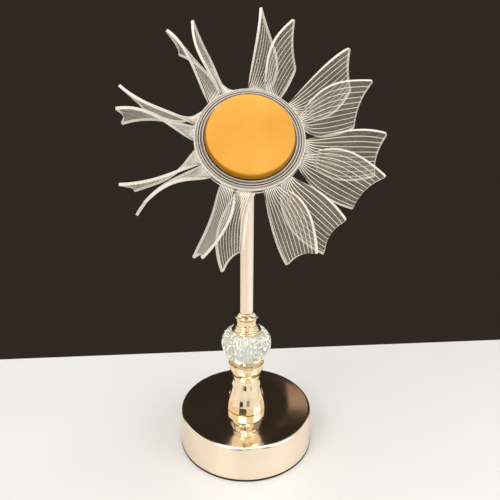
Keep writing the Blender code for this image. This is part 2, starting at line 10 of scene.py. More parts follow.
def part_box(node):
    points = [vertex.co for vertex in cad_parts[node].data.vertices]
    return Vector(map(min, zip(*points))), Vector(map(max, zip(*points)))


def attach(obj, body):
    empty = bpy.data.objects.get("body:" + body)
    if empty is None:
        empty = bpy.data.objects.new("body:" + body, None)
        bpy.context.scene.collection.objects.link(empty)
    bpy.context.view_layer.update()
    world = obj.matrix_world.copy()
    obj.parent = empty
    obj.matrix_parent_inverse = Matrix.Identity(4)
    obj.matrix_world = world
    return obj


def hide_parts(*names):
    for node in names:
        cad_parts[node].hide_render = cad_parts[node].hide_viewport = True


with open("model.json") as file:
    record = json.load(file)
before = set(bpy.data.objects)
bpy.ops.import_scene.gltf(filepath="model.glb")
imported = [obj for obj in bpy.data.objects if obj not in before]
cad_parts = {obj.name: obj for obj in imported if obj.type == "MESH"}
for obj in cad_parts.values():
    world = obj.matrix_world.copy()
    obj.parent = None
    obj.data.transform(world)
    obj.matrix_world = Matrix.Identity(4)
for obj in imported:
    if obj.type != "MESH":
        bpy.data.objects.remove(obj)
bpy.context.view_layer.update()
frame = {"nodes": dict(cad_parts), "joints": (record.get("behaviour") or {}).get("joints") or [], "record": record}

MM = 0.001
GAP_MM = 0.3
GAP = GAP_MM * MM

# Camera
CAMERA_DISTANCE = 460 * MM
CAMERA_HEIGHT = 386 * MM
CAMERA_AZIMUTH = math.radians(4.9)
CAMERA_PITCH = math.radians(22.9)
CAMERA_ROLL = math.radians(0.4)
CAMERA_ASIDE = 2.7 * MM
LENS_MM = 43.2
SENSOR_MM = 36.0

# Stage: the table's slab and where the dark wall of the room begins and is full, as a direction's Y
FLOOR_LOW = (-0.75, -0.9, -0.02)
FLOOR_RIGHT = 0.75
FLOOR_BEHIND = 149 * MM
WALL_COLOR = (0.030, 0.022, 0.017, 1.0)
WALL_BEGINS = 0.45
WALL_FULL = 0.60

# Foot and stem, in millimetres
STEM_BORE_R = 5.1
KNOP_BORE_R = 5.2
COLUMN_BORE_R = 5.3
DRUM_TOP_R = 60.0
DRUM_EDGE_R = 2.6
BALUSTER_SIDES = 16
BALUSTER_TURN = -3.1
KNOP_SIDES = 14
KNOP_MIDDLE_Z = 99.0
KNOP_PEAK = 0.8
# Knop facets below this height are painted gold: a painted reflection of the gold cup seen in the crystal
GOLD_REFLECTION_TOP_Z = 92.0

# Head: its tilt at rest and how far its petals' sheet stands in front of the pivot
HEAD_RISE = math.radians(39.5)
HEAD_REACH = 30 * MM
PIVOT = Vector(next(j["pos_m"] for j in frame["joints"] if j["name"] == "head_tilt"))

# Head's rings and disc, in millimetres
SHEET_T = 2.0
RING_T = 3.0
RING_IN_R = 30.0
RING_OUT_R = 41.0
DISC_R = 32.4
DISC_FOOT_R = 33.4
DISC_FACE_Z = 10.2
DISC_EDGE_R = 1.4
DISC_WALL = 1.2

# Petals: each edge is one cubic curve of (radius, turn in degrees, height), in millimetres
UNITS = 8
UNIT_TURN = 18.7
PETAL_A = {
    "lead": ((42.1, 25.5, 0.0), (60.2, 20.5, 19.0), (72.0, 19.5, 38.0), (94.6, 19.8, 28.0)),
    "trail": ((42.1, 9.9, 0.0), (58.0, 0.0, -21.5), (78.2, 5.4, -14.2), (98.6, 12.9, -16.5)),
}
PETAL_B = {
    "lead": ((42.1, 8.3, 0.0), (61.2, 15.0, 24.0), (77.0, 10.6, 16.0), (101.3, 4.4, 15.0)),
    "trail": ((42.1, -7.5, 0.0), (56.0, -2.0, -32.3), (71.0, -4.0, -34.6), (91.5, -2.3, -31.5)),
}
TAB_IN_R = 34.4
TAB_OUT_R = 41.3
SCALLOP = 0.06
ENGRAVED_LINES = 9
LINE_HALF_WIDTH = 0.29
LINE_DEPTH = 0.16
PETAL_CORNER_R = 1.9
PETAL_LENGTH = 58.0


# ---------------------------------------------------------------- materials

class Look:
    """A material built on one Principled shader, with short calls for the nodes that feed it."""

    def __init__(self, name, **values):
        self.mat = bpy.data.materials.new(name)
        self.mat.use_nodes = True
        self.tree = self.mat.node_tree
        self.bsdf = self.tree.nodes["Principled BSDF"]
        for socket, value in values.items():
            self.bsdf.inputs[socket.replace("_", " ")].default_value = value
        self.where = self.tree.nodes.new("ShaderNodeTexCoord").outputs["Object"]

    def node(self, kind, inputs=None, **settings):
        made = self.tree.nodes.new("ShaderNode" + kind)
        for key, value in settings.items():
            setattr(made, key, value)
        for socket, value in (inputs or {}).items():
            if isinstance(value, bpy.types.NodeSocket):
                self.tree.links.new(value, made.inputs[socket])
            else:
                made.inputs[socket].default_value = value
        return made

    def noise(self, scale, detail=3.0, stretch=(1.0, 1.0, 1.0), roughness=0.5):
        place = self.node("Mapping", {"Vector": self.where, "Scale": stretch})
        inputs = {"Vector": place.outputs[0], "Scale": scale, "Detail": detail, "Roughness": roughness}
        return self.node("TexNoise", inputs).outputs["Fac"]

    def spread(self, fac, low, high, start=0.3, end=0.7):
        inputs = {"Value": fac, "From Min": start, "From Max": end, "To Min": low, "To Max": high}
        return self.node("MapRange", inputs).outputs[0]

    def ramp(self, fac, *stops):
        made = self.node("ValToRGB", {"Fac": fac})
        elements = made.color_ramp.elements
        while len(elements) < len(stops):
            elements.new(0.5)
        for element, (place, color) in zip(elements, stops):
            element.position = place
            element.color = (*color, 1.0)
        return made.outputs[0]

    def feed(self, socket, output):
        self.tree.links.new(output, self.bsdf.inputs[socket])

    def bump(self, height, strength, distance=0.1 * MM):
        made = self.node("Bump", {"Height": height, "Strength": strength, "Distance": distance})
        self.feed("Normal", made.outputs[0])


def polished(name, color, deep, roughness, streak=(1.0, 1.0, 1.0)):
    """Plated and polished metal: smudges in the gloss, a faint ripple and slow changes of tint."""
    look = Look(name, Metallic=1.0)
    tint = look.noise(14.0, 2.0, streak)
    look.feed("Base Color", look.ramp(tint, (0.3, deep), (0.7, color)))
    smudge = look.noise(60.0, 4.0, streak, 0.6)
    look.feed("Roughness", look.spread(smudge, roughness * 0.7, roughness * 1.6))
    look.bump(look.noise(220.0, 2.0, streak), 0.04)
    return look.mat


def satin_gold(name, dark, light, metallic):
    """Matt gold film: a fine grain over slow patches of warmer and paler gold."""
    look = Look(name, Metallic=metallic)
    look.feed("Base Color", look.ramp(look.noise(22.0, 3.0), (0.3, dark), (0.7, light)))
    grain = look.noise(1500.0, 3.0, roughness=0.7)
    look.feed("Roughness", look.spread(grain, 0.38, 0.52))
    look.bump(grain, 0.12, 0.05 * MM)
    return look.mat


def spun_gold():
    """The drum's plating: polished, with fine rings left by spinning that draw highlights outward."""
    look = Look("champagne_gold", Metallic=1.0, Anisotropic=0.7)
    radial = look.node("Tangent", direction_type="RADIAL", axis="Z")
    look.feed("Tangent", radial.outputs[0])
    tint = look.noise(14.0, 2.0)
    look.feed("Base Color", look.ramp(tint, (0.3, (0.90, 0.75, 0.58)), (0.7, (0.95, 0.82, 0.66))))
    look.feed("Roughness", look.spread(look.noise(60.0, 4.0, roughness=0.6), 0.06, 0.12))
    look.bump(look.noise(220.0, 2.0), 0.03)
    return look.mat


def drawn_gold():
    """The stem's plating over a drawn tube: faint upright streaks in tint and gloss."""
    look = Look("stem_champagne", Metallic=1.0)
    streaks = look.noise(130.0, 2.0, (1.0, 1.0, 0.02))
    look.feed("Base Color", look.ramp(streaks, (0.35, (0.80, 0.63, 0.47)), (0.65, (0.97, 0.86, 0.72))))
    look.feed("Roughness", look.spread(look.noise(400.0, 3.0, (1.0, 1.0, 0.05)), 0.06, 0.12))
    look.bump(streaks, 0.05)
    return look.mat


def clear_sheet(name, dark, light, thin, thick):
    """Clear acrylic as a veil: a warm haze that thickens and thins slowly over the sheet."""
    look = Look(name, Roughness=0.10, IOR=1.49)
    haze = look.noise(45.0, 4.0)
    look.feed("Base Color", look.ramp(haze, (0.3, dark), (0.7, light)))
    look.feed("Alpha", look.spread(haze, thin, thick))
    look.bump(look.noise(90.0, 2.0), 0.03)
    return look.mat


def frosted_edge_painted_glow():
    # Frosted acrylic edges; the emission is a faint painted glow that lifts them.
    look = Look("frosted_edge_painted_glow", Roughness=0.45, Emission_Color=(1.0, 0.94, 0.86, 1.0),
                Emission_Strength=0.16)
    grain = look.noise(900.0, 3.0)
    look.feed("Base Color", look.ramp(grain, (0.3, (0.50, 0.45, 0.39)), (0.7, (0.64, 0.59, 0.52))))
    look.bump(grain, 0.2, 0.05 * MM)
    return look.mat


def engraved_line_painted_glow():
    # Frosted engraved lines; the emission is a faint painted glow that lifts them.
    look = Look("engraved_line_painted_glow", Roughness=0.6, Emission_Color=(1.0, 0.92, 0.82, 1.0),
                Emission_Strength=0.17)
    grain = look.noise(1200.0, 3.0)
    look.feed("Base Color", look.ramp(grain, (0.3, (0.80, 0.75, 0.67)), (0.7, (0.93, 0.88, 0.80))))
    look.feed("Alpha", look.spread(grain, 0.88, 1.0))
    return look.mat


def crystal(name, dark, light, metallic, clear):
    # The emission is a faint painted glow that brightens the crystal, which gives no light of its own.
    look = Look(
        name, Transmission_Weight=clear, Metallic=metallic, IOR=1.54, Roughness=0.0,
        Emission_Color=(0.93, 1.0, 0.96, 1.0), Emission_Strength=0.08 * (1.0 - metallic),
    )
    look.feed("Base Color", look.ramp(look.noise(40.0, 2.0), (0.3, dark), (0.7, light)))
    look.bump(look.noise(300.0, 1.0), 0.01)
    return look.mat


def plain(name, dark, light, roughness, scale=200.0, metallic=0.0, bump=0.15):
    """Matt and cast surfaces: a fine grain in colour, gloss and height."""
    look = Look(name, Metallic=metallic)
    grain = look.noise(scale, 5.0, roughness=0.65)
    look.feed("Base Color", look.ramp(grain, (0.3, dark), (0.7, light)))
    look.feed("Roughness", look.spread(grain, roughness * 0.85, min(1.0, roughness * 1.15)))
    look.bump(grain, bump)
    return look.mat


def make_materials():
    return {
        "champagne_gold": spun_gold(),
        "stem_champagne": drawn_gold(),
        "yellow_gold": polished("yellow_gold", (0.98, 0.83, 0.60), (0.93, 0.75, 0.50), 0.07),
        "satin_gold": satin_gold("satin_gold", (0.61, 0.26, 0.014), (0.69, 0.34, 0.044), 0.35),
        # painted shade: the disc's side wall takes a more saturated, more metallic gold than its face, standing in
        # for the shade and gold inter-reflection on that wall
        "satin_gold_side_painted_shade": satin_gold("satin_gold_side_painted_shade", (0.66, 0.28, 0.004), (0.74, 0.33, 0.008), 0.85),
        "clear_acrylic": clear_sheet("clear_acrylic", (0.42, 0.37, 0.28), (0.54, 0.48, 0.38), 0.16, 0.23),
        # painted reflection: the clear ring's treads are tinted near black and made mostly opaque, standing in for
        # the dark room seen in them
        "ring_acrylic_painted_dark": clear_sheet("ring_acrylic_painted_dark", (0.06, 0.05, 0.04), (0.10, 0.085, 0.065), 0.55, 0.70),
        "ring_haze": clear_sheet("ring_haze", (0.38, 0.34, 0.27), (0.49, 0.44, 0.36), 0.50, 0.66),
        "frosted_edge_painted_glow": frosted_edge_painted_glow(),
        "engraved_line_painted_glow": engraved_line_painted_glow(),
        "crystal": crystal("crystal", (0.86, 0.92, 0.89), (0.96, 1.0, 0.98), 0.0, 0.82),
        # painted reflection: the lower knop facets are tinted and made metallic gold to show the gold cup beneath
        # them
        "crystal_painted_gold_reflection": crystal("crystal_painted_gold_reflection", (0.93, 0.80, 0.58), (0.99, 0.90, 0.72), 0.6, 0.9),
        "steel": polished("steel", (0.62, 0.62, 0.60), (0.50, 0.50, 0.50), 0.28),
        "cast_iron": plain("cast_iron", (0.10, 0.10, 0.11), (0.20, 0.20, 0.21), 0.7, 120.0, 0.6, 0.4),
        "black_felt": plain("black_felt", (0.012, 0.009, 0.007), (0.036, 0.027, 0.020), 0.95, 700.0, 0.0,
                            0.5),
        "green_board": plain("green_board", (0.02, 0.14, 0.06), (0.04, 0.22, 0.10), 0.4),
        "grey_plastic": plain("grey_plastic", (0.24, 0.23, 0.22), (0.32, 0.31, 0.30), 0.45),
        "white_plastic": plain("white_plastic", (0.74, 0.73, 0.70), (0.84, 0.83, 0.81), 0.4),
        "blue_wrap": plain("blue_wrap", (0.04, 0.09, 0.35), (0.06, 0.13, 0.48), 0.35),
    }


# ---------------------------------------------------------------- mesh tools

def finish_mesh(name, bm, materials, sharp=30.0, place=None):
    bmesh.ops.recalc_face_normals(bm, faces=bm.faces)
    mesh = bpy.data.meshes.new(name)
    bm.to_mesh(mesh)
    bm.free()
    obj = bpy.data.objects.new(name, mesh)
    bpy.context.scene.collection.objects.link(obj)
    for mat in materials:
        mesh.materials.append(mat)
    if sharp:
        mesh.shade_smooth()
        mesh.set_sharp_from_angle(angle=math.radians(sharp))
    if place is not None:
        obj.matrix_world = place
    return obj


def spin(bm, outline, sides, closed=True, phase=0.0):
    """Sweeps an outline of (radius, height, material) round Z; radius 0 makes a pole."""
    rings = []
    for radius, height, *_ in outline:
        count = sides if radius > 1e-9 else 1
        ring = []
        for i in range(count):
            a = phase + 2.0 * math.pi * i / sides
            ring.append(bm.verts.new((radius * math.cos(a), radius * math.sin(a), height)))
        rings.append(ring)
    pairs = list(zip(rings, rings[1:], outline))
    if closed:
        pairs.append((rings[-1], rings[0], outline[-1]))
    for lower, upper, point in pairs:
        if len(lower) == 1 and len(upper) == 1:
            continue
        for i in range(sides):
            j = (i + 1) % sides
            corners = [lower[i % len(lower)], lower[j % len(lower)], upper[j % len(upper)],
                       upper[i % len(upper)]]
            unique = list(dict.fromkeys(corners))
            face = bm.faces.new(unique)
            face.material_index = point[2] if len(point) > 2 else 0


def turned(name, outline, materials, sides=128, sharp=30.0, place=None, phase=0.0):
    bm = bmesh.new()
    spin(bm, outline, sides, True, phase)
    return finish_mesh(name, bm, materials, sharp, place)


def arc(centre, radius, start, end, steps):
    points = []
    for i in range(steps + 1):
        a = math.radians(start + (end - start) * i / steps)
        points.append((centre[0] + radius * math.cos(a), centre[1] + radius * math.sin(a)))
    return points


def flowing(points, steps=6):
    """A smooth curve through an outline's points (Catmull-Rom)."""
    whole = [points[0]] + list(points) + [points[-1]]
    curve = []
    for a, b, c, d in zip(whole, whole[1:], whole[2:], whole[3:]):
        for i in range(steps):
            t = i / steps
            curve.append(tuple(
                0.5 * (2 * q + (r - p) * t + (2 * p - 5 * q + 4 * r - s) * t * t
                       + (3 * q - p - 3 * r + s) * t ** 3)
                for p, q, r, s in zip(a, b, c, d)
            ))
    curve.append(tuple(points[-1]))
    return curve


def scaled(outline, factor=MM):
    return [(r * factor, z * factor, *rest) for r, z, *rest in outline]


def cut(obj, bm):
    """Cuts the closed shape in bm out of obj."""
    tool = finish_mesh("cutting_tool", bm, [], 0.0)
    boolean = obj.modifiers.new("cut", "BOOLEAN")
    boolean.operation = "DIFFERENCE"
    boolean.object = tool
    bpy.context.view_layer.update()
    graph = bpy.context.evaluated_depsgraph_get()
    mesh = bpy.data.meshes.new_from_object(obj.evaluated_get(graph))
    obj.modifiers.clear()
    obj.data = mesh
    bpy.data.objects.remove(tool, do_unlink=True)


def add_cylinder(bm, radius, length, place, sides=48):
    made = bmesh.ops.create_cone(bm, cap_ends=True, segments=sides, radius1=radius, radius2=radius,
                                 depth=length)
    bmesh.ops.transform(bm, matrix=place, verts=made["verts"])
    return made["verts"]


def add_box(bm, low, high):
    made = bmesh.ops.create_cube(bm, size=1.0)
    size = [b - a for a, b in zip(low, high)]
    middle = [(a + b) / 2 for a, b in zip(low, high)]
    bmesh.ops.transform(bm, matrix=Matrix.Translation(middle) @ Matrix.Diagonal((*size, 1.0)),
                        verts=made["verts"])


def stands_for(obj, body, slot, *nodes):
    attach(obj, body)
    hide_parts(*nodes)
    return obj


# ---------------------------------------------------------------- foot

def make_drum(mats):
    low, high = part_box("drum_shell")
    foot_r = high.x / MM
    top = high.z / MM
    bottom = low.z / MM
    outer = arc((DRUM_TOP_R - DRUM_EDGE_R, top - DRUM_EDGE_R), DRUM_EDGE_R, 90, 0, 10)
    wall = [(foot_r + (DRUM_TOP_R - foot_r) * z / top, z) for z in (24.0, 12.0, 3.0)]
    foot = [(foot_r - 0.1, bottom + 0.5), (foot_r - 0.5, bottom), (foot_r - 2.0, bottom),
            (foot_r - 2.2, bottom + 1.0)]
    inner = [
        (DRUM_TOP_R - 2.4, top - 4.0), (DRUM_TOP_R - 4.0, top - 2.0), (30.0, top - 1.2),
        (STEM_BORE_R, top - 1.2),
    ]
    outline = [(STEM_BORE_R, top), (30.0, top)] + outer + wall + foot + inner
    drum = turned("drum_shell_fine", scaled(outline), [mats["champagne_gold"]], 192)
    button_low, button_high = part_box("power_button")
    button_z = (button_low.z + button_high.z) / 2
    through_wall = Matrix.Translation((0, 58 * MM, button_z)) @ Matrix.Rotation(math.pi / 2, 4, "X")
    hole = bmesh.new()
    add_cylinder(hole, button_high.x + GAP, 20 * MM, through_wall)
    cut(drum, hole)
    socket_low, socket_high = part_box("charge_socket")
    slot = bmesh.new()
    slot_low = (socket_low.x - GAP, 50 * MM, socket_low.z - GAP)
    slot_high = (socket_high.x + GAP, 66 * MM, socket_high.z + GAP)
    add_box(slot, slot_low, slot_high)
    cut(drum, slot)
    stands_for(drum, "foot", "champagne_gold", "drum_shell")

    _, pad_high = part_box("foot_pad")
    r = foot_r
    t = pad_high.z / MM
    outline = [(0.0, t), (r - 0.4, t), (r, t - 0.4), (r, 0.4), (r - 0.4, 0.0), (0.0, 0.0)]
    pad = turned("foot_pad_fine", scaled(outline), [mats["black_felt"]], 128)
    stands_for(pad, "foot", "black_felt", "foot_pad")


def make_button(mats):
    low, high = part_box("power_button")
    radius = (high.x - low.x) / 2 / MM
    length = (high.y - low.y) / MM
    outline = [(0.0, 0.0), (radius, 0.0), (radius, length - 0.7)]
    outline += arc((radius - 0.7, length - 0.7), 0.7, 0, 90, 5) + [(radius - 1.6, length),
                                                                   (0.0, length - 0.35)]
    place = Matrix.Translation((0, low.y, (low.z + high.z) / 2)) @ Matrix.Rotation(-math.pi / 2, 4, "X")
    button = turned("power_button_fine", scaled(outline), [mats["champagne_gold"]], 64, place=place)
    stands_for(button, "button", "champagne_gold", "power_button")


# ---------------------------------------------------------------- column

def make_baluster(mats):
    """Sixteen flat sides; between the neck and the foot each side is cut with an upright groove."""
    low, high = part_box("faceted_baluster")
    base = low.z / MM
    top = high.z / MM
    rows = [
        (COLUMN_BORE_R, base, 0.0, 0.0), (17.5, base, 0.0, 0.0), (18.1, base + 0.6, 0.0, 0.0),
        (17.5, 43.0, 0.0, 0.0),
        (15.9, 48.6, 0.0, -0.8), (15.5, 49.8, 0.45, -0.4), (13.3, 57.6, 0.35, 0.3), (13.0, 58.8, 0.0, 0.4),
        (11.5, 63.5, 0.0, 0.0), (11.2, top, 0.0, 0.0), (COLUMN_BORE_R, top, 0.0, 0.0),
    ]
    half_turn = math.pi / BALUSTER_SIDES
    bm = bmesh.new()
    rings = []
    for radius, z, inset, shift in rows:
        ring = []
        for i in range(2 * BALUSTER_SIDES):
            a = math.radians(-90.0 + BALUSTER_TURN) + half_turn * i
            r = radius if i % 2 == 0 else radius * math.cos(half_turn) - inset
            ring.append(bm.verts.new((r * math.cos(a) * MM, r * math.sin(a) * MM,
                                      (z + shift * (i % 2)) * MM)))
        rings.append(ring)
    for lower, upper in zip(rings, rings[1:] + rings[:1]):
        for i in range(2 * BALUSTER_SIDES):
            j = (i + 1) % (2 * BALUSTER_SIDES)
            bm.faces.new((lower[i], lower[j], upper[j], upper[i]))
    obj = finish_mesh("faceted_baluster_fine", bm, [mats["yellow_gold"]], None)
    ease(obj, 0.16 * MM)
    stands_for(obj, "foot", "yellow_gold", "faceted_baluster")


def ease(obj, width, segments=2, angle=12.0):
    """Rounds an object's sharp edges and keeps its flats flat."""
    bevel = obj.modifiers.new("ease", "BEVEL")
    bevel.width = width
    bevel.segments = segments
    bevel.limit_method = "ANGLE"
    bevel.angle_limit = math.radians(angle)
    bevel.harden_normals = True
    obj.data.shade_smooth()
    return bevel


def make_cup(mats):
    low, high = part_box("crystal_cup")
    base = low.z / MM
    top = high.z / MM
    foot = [(10.9, base)] + arc((11.2, base + 1.2), 0.9, -70, 70, 8) + [(11.4, base + 2.7)]
    outer = [(11.6, base + 3.0), (12.6, base + 4.2), (14.1, base + 6.9), (15.3, base + 10.2),
             (15.8, base + 13.3),
             (15.9, top - 0.6)]
    lip = arc((15.4, top - 0.5), 0.5, 0, 180, 8)
    bowl = flowing([(14.7, top - 0.9), (13.9, top - 2.3), (12.3, top - 3.6), (10.4, top - 4.0),
                    (8.0, top - 4.0)], 5)
    outline = foot + flowing(outer, 5) + lip + bowl + [(COLUMN_BORE_R, top - 4.0), (COLUMN_BORE_R, base)]
    cup = turned("crystal_cup_fine", scaled(outline), [mats["yellow_gold"]], 128)
    stands_for(cup, "foot", "yellow_gold", "crystal_cup")


def make_knop(mats):
    """Cut-crystal knop: rows of corners half a step round from each other, each triangle cut to a point."""
    low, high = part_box("crystal_knop")
    sides = KNOP_SIDES
    corners = [(9.0, low.z / MM), (14.6, 86.2), (19.6, 93.6), (22.1, 102.2), (20.8, 109.2),
               (15.7, high.z / MM)]
    bm = bmesh.new()
    rings = []
    for k, (r, z) in enumerate(corners):
        ring = []
        for i in range(sides):
            a = 2.0 * math.pi * (i + 0.5 * (k % 2)) / sides
            ring.append(bm.verts.new((r * math.cos(a) * MM, r * math.sin(a) * MM, z * MM)))
        rings.append(ring)
    facets = []
    for k, (lower, upper) in enumerate(zip(rings, rings[1:])):
        for i in range(sides):
            j = (i + 1) % sides
            if k % 2:
                facets.append((lower[i], upper[j], upper[i]))
                facets.append((lower[i], lower[j], upper[j]))
            else:
                facets.append((lower[i], lower[j], upper[i]))
                facets.append((lower[j], upper[j], upper[i]))
    for facet in facets:
        middle = sum((v.co for v in facet), Vector()) / 3
        outward = Vector((middle.x, middle.y, (middle.z - KNOP_MIDDLE_Z * MM) * 0.7)).normalized()
        peak = bm.verts.new(middle + outward * KNOP_PEAK * MM)
        for a, b in zip(facet, facet[1:] + facet[:1]):
            face = bm.faces.new((a, b, peak))
            # facets low on the knop take the crystal with the painted gold reflection
            face.material_index = 1 if middle.z < GOLD_REFLECTION_TOP_Z * MM else 0
    bore = []
    for _, z in (corners[0], corners[-1]):
        ring = []
        for i in range(sides):
            a = 2 * math.pi * i / sides
            ring.append(bm.verts.new((KNOP_BORE_R * math.cos(a) * MM, KNOP_BORE_R * math.sin(a) * MM,
                                      z * MM)))
        bore.append(ring)
    for i in range(sides):
        j = (i + 1) % sides
        bm.faces.new((bore[0][i], bore[0][j], rings[0][j], rings[0][i]))
        bm.faces.new((bore[1][i], bore[1][j], rings[-1][j], rings[-1][i]))
        bm.faces.new((bore[0][i], bore[0][j], bore[1][j], bore[1][i]))
    knop = finish_mesh("crystal_knop_fine", bm, [mats["crystal"], mats["crystal_painted_gold_reflection"]], 0.0)
    stands_for(knop, "foot", "crystal", "crystal_knop")


def make_collar(mats):
    low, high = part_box("turned_collar")
    base = low.z / MM
    top = high.z / MM
    outline = [(COLUMN_BORE_R, base), (12.2, base)]
    outline += arc((12.1, base + 1.1), 0.85, -75, 75, 8) + [(11.5, base + 2.2)]
    outline += arc((11.3, base + 2.95), 0.6, -70, 70, 6) + [(10.6, base + 3.9)]
    outline += arc((10.2, base + 4.7), 0.6, -70, 70, 6) + [(9.9, base + 5.5)]
    outline += arc((9.7, base + 6.2), 0.55, -70, 70, 6)
    outline += flowing([(9.2, base + 7.0), (8.8, base + 8.2), (8.7, base + 9.4)], 5)
    outline += [(8.3, base + 9.5), (8.3, base + 9.9), (8.75, base + 10.0)]
    outline += flowing([(8.8, base + 10.6), (9.0, base + 11.6), (9.3, base + 12.6)], 4)
    outline += [(8.9, base + 12.7), (8.9, base + 13.1), (9.5, base + 13.2), (10.0, base + 14.5),
                (10.1, base + 14.8)] + arc((10.4, base + 15.4), 0.5, -60, 90, 8)
    outline += flowing([(9.9, base + 16.2), (8.8, base + 16.9), (7.6, base + 17.9), (6.9, top - 0.2)], 4)
    outline += [(6.6, top), (6.4, top - 0.2), (6.4, base + 12.0), (COLUMN_BORE_R, base + 12.0)]
    collar = turned("turned_collar_fine", scaled(outline), [mats["yellow_gold"]], 128, 38.0)
    stands_for(collar, "foot", "yellow_gold", "turned_collar")


def make_stem(mats):
    low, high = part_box("stem_tube")
    r = high.x / MM
    outline = [
        (STEM_BORE_R, low.z / MM), (r, low.z / MM), (r, 160.0), (r, 200.0), (r, high.z / MM),
        (STEM_BORE_R, high.z / MM),
    ]
    stem = turned("stem_tube_fine", scaled(outline), [mats["stem_champagne"]], 96)
    stands_for(stem, "foot", "champagne_gold", "stem_tube")


def prism(bm, outline, low, high):
    """Extrudes an outline of (y, z) along X."""
    first = [bm.verts.new((low, y, z)) for y, z in outline]
    last = [bm.verts.new((high, y, z)) for y, z in outline]
    bm.faces.new(first)
    bm.faces.new(last)
    for i in range(len(outline)):
        j = (i + 1) % len(outline)
        bm.faces.new((first[i], first[j], last[j], last[i]))


def make_fork(mats):
    low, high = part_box("stem_fork")
    stem_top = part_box("stem_tube")[1].z
    roof = stem_top + GAP
    top = roof + 3 * MM
    r = high.x
    edge = 0.6 * MM
    outline = [(0.0, roof), (r - 0.8 * MM, roof), (r - 0.8 * MM, low.z)]
    outline += arc((r - edge, low.z + edge), edge, -90, 0, 4)
    outline += arc((r - edge, top - edge), edge, 0, 90, 4) + [(0.0, top)]
    socket = turned("stem_fork_fine", outline, [mats["champagne_gold"]], 96)
    stands_for(socket, "foot", "champagne_gold", "stem_fork")
    ear_r = high.z - PIVOT.z
    for side in (-1, 1):
        bm = bmesh.new()
        shape = [(-ear_r, top - 1.0 * MM), (ear_r, top - 1.0 * MM)] + arc((0.0, PIVOT.z), ear_r, 0, 180, 24)
        prism(bm, shape, side * 4.1 * MM, side * 7.1 * MM)
        ear = finish_mesh("fork_ear_" + ("left" if side < 0 else "right"), bm, [mats["champagne_gold"]],
                          30.0)
        ease(ear, 0.4 * MM, 3, 40.0)
        stands_for(ear, "foot", "champagne_gold", "stem_fork")


def across(x=0.0):
    return Matrix.Translation((x, 0, PIVOT.z)) @ Matrix.Rotation(math.pi / 2, 4, "Y")


def make_pivot(mats):
    low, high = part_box("pivot_pin")
    tail = high.x / MM
    inside = -7.4
    outline = [(0.0, low.x / MM)] + arc((1.6, inside - 0.4), 1.8, -90, 0, 6)
    outline += [(3.4, inside), (2.0, inside), (2.0, tail), (0.0, tail)]
    pin = turned("pivot_pin_fine", scaled(outline), [mats["yellow_gold"]], 48, place=across())
    stands_for(pin, "foot", "yellow_gold", "pivot_pin")
    low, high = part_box("pivot_nut")
    start = low.x / MM
    outline = [(2.1, start), (3.4, start), (3.6, start + 0.3), (3.6, start + 1.6)]
    outline += arc((1.8, start + 1.8), 1.8, 0, 80, 6) + [(0.0, start + 3.7), (0.0, start + 1.5),
                                                         (2.1, start + 1.5)]
    nut = turned("pivot_nut_fine", scaled(outline), [mats["yellow_gold"]], 48, place=across())
    stands_for(nut, "foot", "yellow_gold", "pivot_nut")


# ---------------------------------------------------------------- head

def head_place():
    """Head's own axes: X right, Y up the disc, Z out of its face, from the middle of the petals' sheet."""
    up = Vector((0.0, math.sin(HEAD_RISE), math.cos(HEAD_RISE)))
    out = Vector((0.0, -math.cos(HEAD_RISE), math.sin(HEAD_RISE)))
    turn = Matrix((Vector((1.0, 0.0, 0.0)), up, out)).transposed().to_4x4()
    return Matrix.Translation(PIVOT) @ turn @ Matrix.Translation((0, 0, HEAD_REACH))


def make_tongue(mats, place):
    tongue = turned(
        "tilt_flange_fine",
        scaled([(0.0, -22.3), (8.6, -22.3), (9.0, -21.9), (9.0, -20.6), (8.7, -20.3), (0.0, -20.3)]),
        [mats["champagne_gold"]], 64, place=place)
    stands_for(tongue, "head", "champagne_gold", "tilt_tongue")
    bm = bmesh.new()
    reach = -HEAD_REACH
    outline = [(6.5 * MM, -21.5 * MM), (-6.5 * MM, -21.5 * MM)] + arc((0.0, reach), 6.5 * MM, 180, 360, 24)
    prism(bm, outline, -3.8 * MM, 3.8 * MM)
    blade = finish_mesh("tilt_tongue_fine", bm, [mats["champagne_gold"]], 30.0, place)
    ease(blade, 0.4 * MM, 3, 40.0)
    stands_for(blade, "head", "champagne_gold", "tilt_tongue")


def make_cover(mats, place):
    front = -SHEET_T / 2 - 3.6
    rim = [(31.5, front), (31.5, front - 2.0), (29.9, front - 5.2)]
    outer = flowing(rim + [(26.4, -14.2), (20.0, -18.0), (13.0, -20.0)], 5)
    inner = [(13.0, -18.6), (19.4, -16.7), (25.4, -13.2), (28.5, front - 4.8), (30.1, front - 1.8),
             (30.1, front)]
    outline = outer + [(2.5, -20.0), (2.5, -18.6)] + inner
    cover = turned("back_cover_fine", scaled(outline), [mats["yellow_gold"]], 128, place=place)
    stands_for(cover, "head", "yellow_gold", "back_cover")


